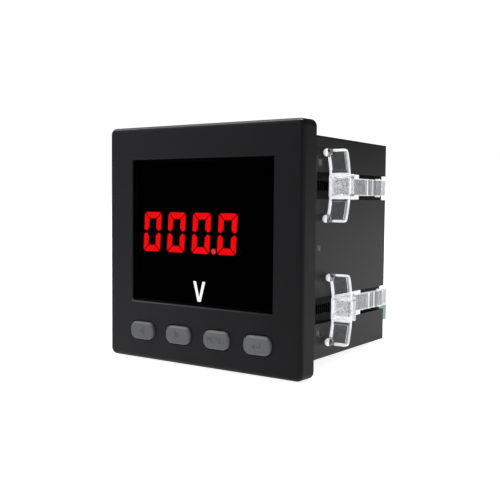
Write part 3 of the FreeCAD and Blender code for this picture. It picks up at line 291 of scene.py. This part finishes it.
LIT_POINT_X = 5.4
LIT_POINT_REACH = 3.0


def point_glow(name, colour, strength):
    """Only the third decimal point is lit, found by its place across the display."""
    material, tree, shader = glow(name, colour, 0.0, (0.03, 0.01, 0.01))
    x = place(tree)[0]
    lit = x.math("COMPARE", LIT_POINT_X * MM, LIT_POINT_REACH * MM)
    (lit * strength).drive(shader.inputs["Emission Strength"])
    return material


# Where each clip's own frame starts. The lower clips stand further back than the upper ones.
CLIP_X = 35.5
CLIP_Y = 15.3
CLIP_Z = 20
CLIP_LAG = 2.6

# On a clip, "out" runs away from the case, "level" up and down from the arm's middle, "back" to the rear.
# A noise is given by its scale and detail, and a rise by its limit and blur.
CLIP_GRAIN = (700, 0.2, 0.0001)

# Painted highlights on the clip's wing rims and ball feet, and painted shade on the balls' far halves
BLADE_BACK = (-3.2, 0.9)
INNER_RIM_OUT = (0, 1.5)
OUTER_RIM_OUT = 7.5
OUTER_RIM_LEVEL = 4.3
OUTER_RIM_LIGHT = 0.5
TIP_LEVEL = 11
RIM_LIGHT = 0.92

BALL_OUT = (0.5, 3.4)
BALL_LEVEL = (9.1, 11.9)
BALL_BACK = -2
SLANT = (0.82, 0.57)
CRESCENT_END = -0.8
CRESCENT_BLUR = 0.25

CLEAR = (0.9, 0.92, 0.94)
# The darker tint below is painted shade
SHADE_TINT = (0.08, 0.08, 0.09)
FLANK_BACK = (0.5, 3.3)
FLANK_OUT = 6
FLANK_LEVEL = 3.6
FLANK_SHADE = 0.75
SHADE_BANDS = (((27.5, 30.9, 0.1), 0.3), ((31.6, 34.3, 0.8), 0.65))

# Painted highlight over the clip's hub, paler at its ends
HUB_BACK = (-3, 1.2)
HUB_LEVEL = 4.15
HUB_LEAST = 0.2
CROWN_LEVEL = 3.3
CROWN_LIGHT = 0.45
SPECK_NOISE = (1200, 2.0)
SPECK_RISE = (0.55, 0.2)
SPECK_LIGHT = 0.3
PATCH_OUT = (3.2, 5.6)
PATCH_LEVEL = 0.9
PATCH_NOISE = (1500, 1.0)
PATCH_RISE = (0.45, 0.1)
BAR_OUT = (1.9, 2.6)
BAR_LEVEL = 1.9
CORE_LIGHT = 0.4

# Painted highlights along the clip's arm
SHOULDER_BACK = (1.2, 14.9)
CHEEK_LEVEL = 3.2
CHEEK_LIGHT = 0.85
EDGE_LEVEL = 2.65
EDGE_LIGHT = 0.5
RIBS_BACK = ((26.95, 27.35), (30.95, 31.35), (40.4, 42.0))
RIB_LIGHT = 0.45
STREAK_NOISE = (500, 2.0)
STREAK_RISE = (0.5, 0.4)
STREAK_LIGHT = 0.1

# The least painted highlight on the clip, and how strongly painted highlights glow
LEAST_LIGHT = 0.02
CLIP_PAINTED_GLOW = 0.38


def clear_plastic(name):
    """Clear moulding with painted highlights that glow on its thick rims, hub and ribs, and painted shade in
    darker patches, all found by their places on the clip.
    """
    material, tree, shader = plastic(name, CLEAR, 0.06, 0.5, IOR=1.5)
    grain(tree, shader, *CLIP_GRAIN)
    x, y, z = place(tree)
    out = abs(x) - CLIP_X * MM
    level = abs(abs(z) - CLIP_Z * MM)
    back = y - (z.math("LESS_THAN", 0) * (CLIP_LAG * MM) + CLIP_Y * MM)

    # The wing: a thin blade with painted highlights on its rims, and a ball foot at each tip, one half a
    # painted highlight and the other painted shade
    outer = out.beyond(OUTER_RIM_OUT) * level.beyond(OUTER_RIM_LEVEL) * OUTER_RIM_LIGHT
    rims = largest(out.within(*INNER_RIM_OUT), outer, level.beyond(TIP_LEVEL)) * back.within(*BLADE_BACK)
    ball = out.within(*BALL_OUT) * level.within(*BALL_LEVEL) * back.before(BALL_BACK)
    slant = out * SLANT[0] + back * SLANT[1]
    shade = ball * slant.beyond(CRESCENT_END, CRESCENT_BLUR)
    rims = rims.less(ball) * RIM_LIGHT

    # Painted shade, as a darker tint: the ball's rear half, the hub's flank behind the wing and two bands along
    # the arm
    flank = (back.within(*FLANK_BACK) * out.beyond(FLANK_OUT)).less(level.beyond(FLANK_LEVEL)) * FLANK_SHADE
    bands = [back.within(*band) * depth for band, depth in SHADE_BANDS]
    painted_shade = ramp(tree, largest(shade, flank, *bands), (0.0, CLEAR), (1.0, SHADE_TINT))
    tree.links.new(painted_shade, shader.inputs["Base Color"])

    # The hub: made milky with a painted highlight, paler at its ends, with specks that stand for small moulded
    # marks, also painted as light, and a patch and a bar in its middle
    crown = level.beyond(CROWN_LEVEL) * CROWN_LIGHT
    specks = noise(tree, *SPECK_NOISE).rise(*SPECK_RISE) * SPECK_LIGHT
    patch = out.within(*PATCH_OUT) * noise(tree, *PATCH_NOISE).rise(*PATCH_RISE)
    patch = patch.less(level.beyond(PATCH_LEVEL))
    bar = out.within(*BAR_OUT).less(level.beyond(BAR_LEVEL))
    hub_light = largest(crown, specks, largest(patch, bar) * CORE_LIGHT) + HUB_LEAST
    hub = back.within(*HUB_BACK) * level.before(HUB_LEVEL) * hub_light

    # The arm: painted highlights as white cheeks beside the shoulder, then pale edges, ribs and faint streaks
    shoulder = back.within(*SHOULDER_BACK)
    cheek = level.beyond(CHEEK_LEVEL) * shoulder * CHEEK_LIGHT
    edges = level.beyond(EDGE_LEVEL).less(shoulder) * EDGE_LIGHT
    ribs = largest(*(back.within(*rib) for rib in RIBS_BACK)) * RIB_LIGHT
    streaks = noise(tree, *STREAK_NOISE).rise(*STREAK_RISE) * STREAK_LIGHT
    arm = largest(edges, cheek, ribs, streaks) * back.beyond(SHOULDER_BACK[0])

    # Every painted highlight makes the plastic less clear and makes it glow, though it is no lamp
    painted_light = largest(rims, ball - shade, hub, arm, LEAST_LIGHT)
    (1 - painted_light).drive(shader.inputs["Transmission Weight"])
    shader.inputs["Emission Color"].default_value = (0.97, 0.98, 1.0, 1)
    (painted_light * CLIP_PAINTED_GLOW).drive(shader.inputs["Emission Strength"])
    return material


# What lies behind the lens is seen through two of its faces, so lit marks are made brighter by both
LENS_ALPHA = 0.6
THROUGH_LENS = 1 / (1 - LENS_ALPHA) ** 2

LOOKS = {
    "bezel": bezel_look(),
    "case": case_look(),
    "lens": plastic("smoked_window", (0.0002, 0.0002, 0.0003), 0.04, 0.0, Alpha=LENS_ALPHA)[0],
    "key": key_look(),
    "segment": glow("segment_lit", (1.0, 0.003, 0.004), 0.85 * THROUGH_LENS)[0],
    "segment_off": plastic("segment_unlit", (0.012, 0.008, 0.008), 0.7, 0.1)[0],
    "point": point_glow("decimal_point", (1.0, 0.06, 0.1), 0.62 * THROUGH_LENS),
    "module": plastic("module_black", (0.003, 0.003, 0.003), 0.8, 0.03)[0],
    "board": moulding("board_green", (0.02, 0.11, 0.04), 0.4, 0.5, 900, 0.00002)[0],
    "switch": moulding("switch_black", (0.02, 0.02, 0.02), 0.45, 0.5, 1500, 0.00002)[0],
    "screw": plastic("zinc", (0.55, 0.55, 0.57), 0.32, Metallic=1.0)[0],
    "contact": plastic("tinned_brass", (0.62, 0.55, 0.36), 0.3, Metallic=1.0)[0],
    "core": moulding("ferrite", (0.05, 0.05, 0.055), 0.6, 0.4, 1200, 0.00004)[0],
    "coil": moulding("winding_tape", (0.45, 0.30, 0.04), 0.35, 0.5, 700, 0.00003)[0],
    "capacitor": plastic("capacitor_sleeve", (0.03, 0.04, 0.09), 0.35)[0],
    "terminal": moulding("terminal_green", (0.2, 0.38, 0.28), 0.42, 0.5, 1500, 0.00003)[0],
    "clip": clear_plastic("clear_plastic"),
    "mark": plastic("key_mark", (0.05, 0.051, 0.055), 0.6)[0],
    "unit": glow("unit_mark", WHITE, 0.95 * THROUGH_LENS, (0.8, 0.8, 0.8))[0],
}

SLOTS = {row["node"]: row["material_slot"] for row in frame["record"]["subparts"]}
for node, item in frame["nodes"].items():
    item.data.materials.clear()
    item.data.materials.append(LOOKS["point" if node == "decimal_points" else SLOTS[node]])


# Marks: flat plates a hair thick, drawn as outlines seen from the front, in millimetres

def add_object(name, data):
    item = bpy.data.objects.new(name, data)
    scene.collection.objects.link(item)
    return item


def flat_plates(name, outlines, y, thickness, look, body):
    """Thin plates whose front lies at depth y, one for each outline of (x, z) points."""
    points = []
    faces = []
    for outline in outlines:
        first = len(points)
        count = len(outline)
        for depth in (y, y + thickness):
            points += [Vector((x, depth, z)) * MM for x, z in outline]
        faces.append([first + n for n in range(count)])
        faces.append([first + count + n for n in reversed(range(count))])
        faces += [[first + (n + 1) % count, first + n, first + count + n, first + count + (n + 1) % count]
                  for n in range(count)]
    mesh = bpy.data.meshes.new(name)
    mesh.from_pydata(points, [], faces)
    mesh.validate()
    mesh.update()
    item = add_object(name, mesh)
    mesh.materials.append(LOOKS[look])
    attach(item, body)


def stroke(start, end, width):
    """A straight bar between two points, as four corners."""
    a = Vector(start)
    b = Vector(end)
    side = (b - a).orthogonal().normalized() * width / 2
    return [a - side, b - side, b + side, a + side]


DISPLAY_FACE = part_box("display_module")[0].y / MM
UNIT_LOW = -18.4
UNIT_NOTCH = -16.9
UNIT_HIGH = -11.7
UNIT_DEPTH = 0.03
unit = [(-2.98, UNIT_HIGH), (-1.82, UNIT_HIGH), (-0.46, UNIT_NOTCH), (0.90, UNIT_HIGH), (2.06, UNIT_HIGH),
        (0.2, UNIT_LOW), (-1.12, UNIT_LOW)]
flat_plates("unit_letter", [unit], DISPLAY_FACE - UNIT_DEPTH, UNIT_DEPTH, "unit", "meter")

KEY_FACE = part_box("key_menu")[0].y / MM
KEY_Z = -30.05
MARK_DEPTH = 0.015


def key_mark(name, key, outlines):
    """A mark on a key, drawn about the middle of its face."""
    low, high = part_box(key)
    across = (low.x + high.x) / 2 / MM
    moved = [[(x + across, z + KEY_Z) for x, z in outline] for outline in outlines]
    flat_plates(name, moved, KEY_FACE - MARK_DEPTH, MARK_DEPTH, "mark", key)


key_mark("mark_left", "key_left", [[(1.25, 1.5), (-1.45, 0), (1.25, -1.5)]])
key_mark("mark_right", "key_right", [[(-1.25, -1.5), (1.45, 0), (-1.25, 1.5)]])

# The word MENU, each letter as strokes from 0 to 1 across and from -1 to 1 upward
LETTERS = (
    (((0, -1), (0, 1)), ((0, 1), (0.5, 0)), ((0.5, 0), (1, 1)), ((1, 1), (1, -1))),
    (((0, -1), (0, 1)), ((0, 1), (1, 1)), ((0, 0), (0.8, 0)), ((0, -1), (1, -1))),
    (((0, -1), (0, 1)), ((0, 1), (1, -1)), ((1, -1), (1, 1))),
    (((0, 1), (0, -1)), ((0, -1), (1, -1)), ((1, -1), (1, 1))),
)
LETTER_HIGH = 0.85
LETTER_WIDE = 1.25
LETTER_STEP = 1.85
LETTER_PEN = 0.3
word = []
for index, letter in enumerate(LETTERS):
    left = (index - (len(LETTERS) - 1) / 2) * LETTER_STEP - LETTER_WIDE / 2
    for start, end in letter:
        word.append(stroke((left + start[0] * LETTER_WIDE, start[1] * LETTER_HIGH),
                           (left + end[0] * LETTER_WIDE, end[1] * LETTER_HIGH), LETTER_PEN))
key_mark("mark_menu", "key_menu", word)

ARROW_PEN = 0.42
key_mark("mark_enter", "key_enter", [
    stroke((1.5, 1.35), (1.5, -0.5), ARROW_PEN),
    stroke((1.5 + ARROW_PEN / 2, -0.5), (-0.6, -0.5), ARROW_PEN),
    [(-0.5, 0.55), (-1.9, -0.5), (-0.5, -1.55)],
])


# Floor, light and camera

# The meter stands on the bezel's lower edge and the case's rear edge, and the floor slopes to touch both
FLOOR_TILT = math.atan2(4.5, 58)
FLOOR_Z = -0.0401
FLOOR_REACH = 6.0
FLOOR_GLOW = 0.88
floor_mesh = bpy.data.meshes.new("floor")
floor_mesh.from_pydata([(x * FLOOR_REACH, y * FLOOR_REACH, 0) for x, y in ((-1, -1), (1, -1), (1, 1), (-1, 1))],
                       [], [(0, 1, 2, 3)])
floor = add_object("floor", floor_mesh)
floor.rotation_euler = (FLOOR_TILT, 0, 0)
floor.location = (0, 0, FLOOR_Z)
floor_look = plastic("pale_floor", (0.95, 0.95, 0.95), 0.9, 0.0,
                     Emission_Color=(*WHITE, 1), Emission_Strength=FLOOR_GLOW)[0]
floor_mesh.materials.append(floor_look)

# The camera sees white behind the part, also through clear plastic, and a dim sky lights the part
world = bpy.data.worlds.new("studio")
scene.world = world
world.use_nodes = True
tree = world.node_tree
sky = tree.nodes["Background"]
backdrop = tree.nodes.new("ShaderNodeBackground")
for background, colour, strength in ((sky, (0.9, 0.94, 1.0), 0.15), (backdrop, WHITE, 1.05)):
    background.inputs["Color"].default_value = (*colour, 1)
    background.inputs["Strength"].default_value = strength
path = tree.nodes.new("ShaderNodeLightPath")
seen = largest(Field(path.outputs["Is Camera Ray"]), Field(path.outputs["Is Transmission Ray"]))
mix = tree.nodes.new("ShaderNodeMixShader")
seen.drive(mix.inputs[0])
tree.links.new(sky.outputs[0], mix.inputs[1])
tree.links.new(backdrop.outputs[0], mix.inputs[2])
tree.links.new(mix.outputs[0], tree.nodes["World Output"].inputs["Surface"])


MIDDLE = (0, 0.02, 0)


def area_light(name, position, size, power, colour=WHITE):
    """A flat lamp that faces the middle of the part."""
    data = bpy.data.lights.new(name, "AREA")
    data.shape = "RECTANGLE"
    data.size, data.size_y = size
    data.energy = power
    data.color = colour
    item = add_object(name, data)
    item.location = position
    item.rotation_euler = (Vector(MIDDLE) - Vector(position)).to_track_quat("-Z", "Y").to_euler()


area_light("key_light", (-0.5, -0.7, 0.55), (0.5, 0.5), 4.5)
area_light("top_light", (0.0, -0.05, 0.8), (0.5, 0.3), 3.5)
area_light("side_light", (0.75, -0.15, -0.02), (0.4, 0.3), 1.4, (1.0, 0.99, 0.97))

CAMERA_PLACE = Vector((163.72, -212.41, 14.77)) * MM
AZIMUTH = math.radians(34.878)
DOWN = math.radians(3.46)
ROLL = math.radians(0.503)
forward = Vector((-math.sin(AZIMUTH) * math.cos(DOWN), math.cos(AZIMUTH) * math.cos(DOWN), -math.sin(DOWN)))
level = forward.cross(Vector((0, 0, 1))).normalized()
upright = level.cross(forward)
right = level * math.cos(ROLL) + upright * math.sin(ROLL)
up = upright * math.cos(ROLL) - level * math.sin(ROLL)
camera_data = bpy.data.cameras.new("camera")
camera_data.sensor_width = 36
camera_data.lens = 57.77
camera_data.clip_start = 0.01
camera_data.clip_end = 50
camera = add_object("camera", camera_data)
camera.matrix_world = Matrix.Translation(CAMERA_PLACE) @ Matrix((right, up, -forward)).transposed().to_4x4()
scene.camera = camera
scene.view_settings.view_transform = "Standard"
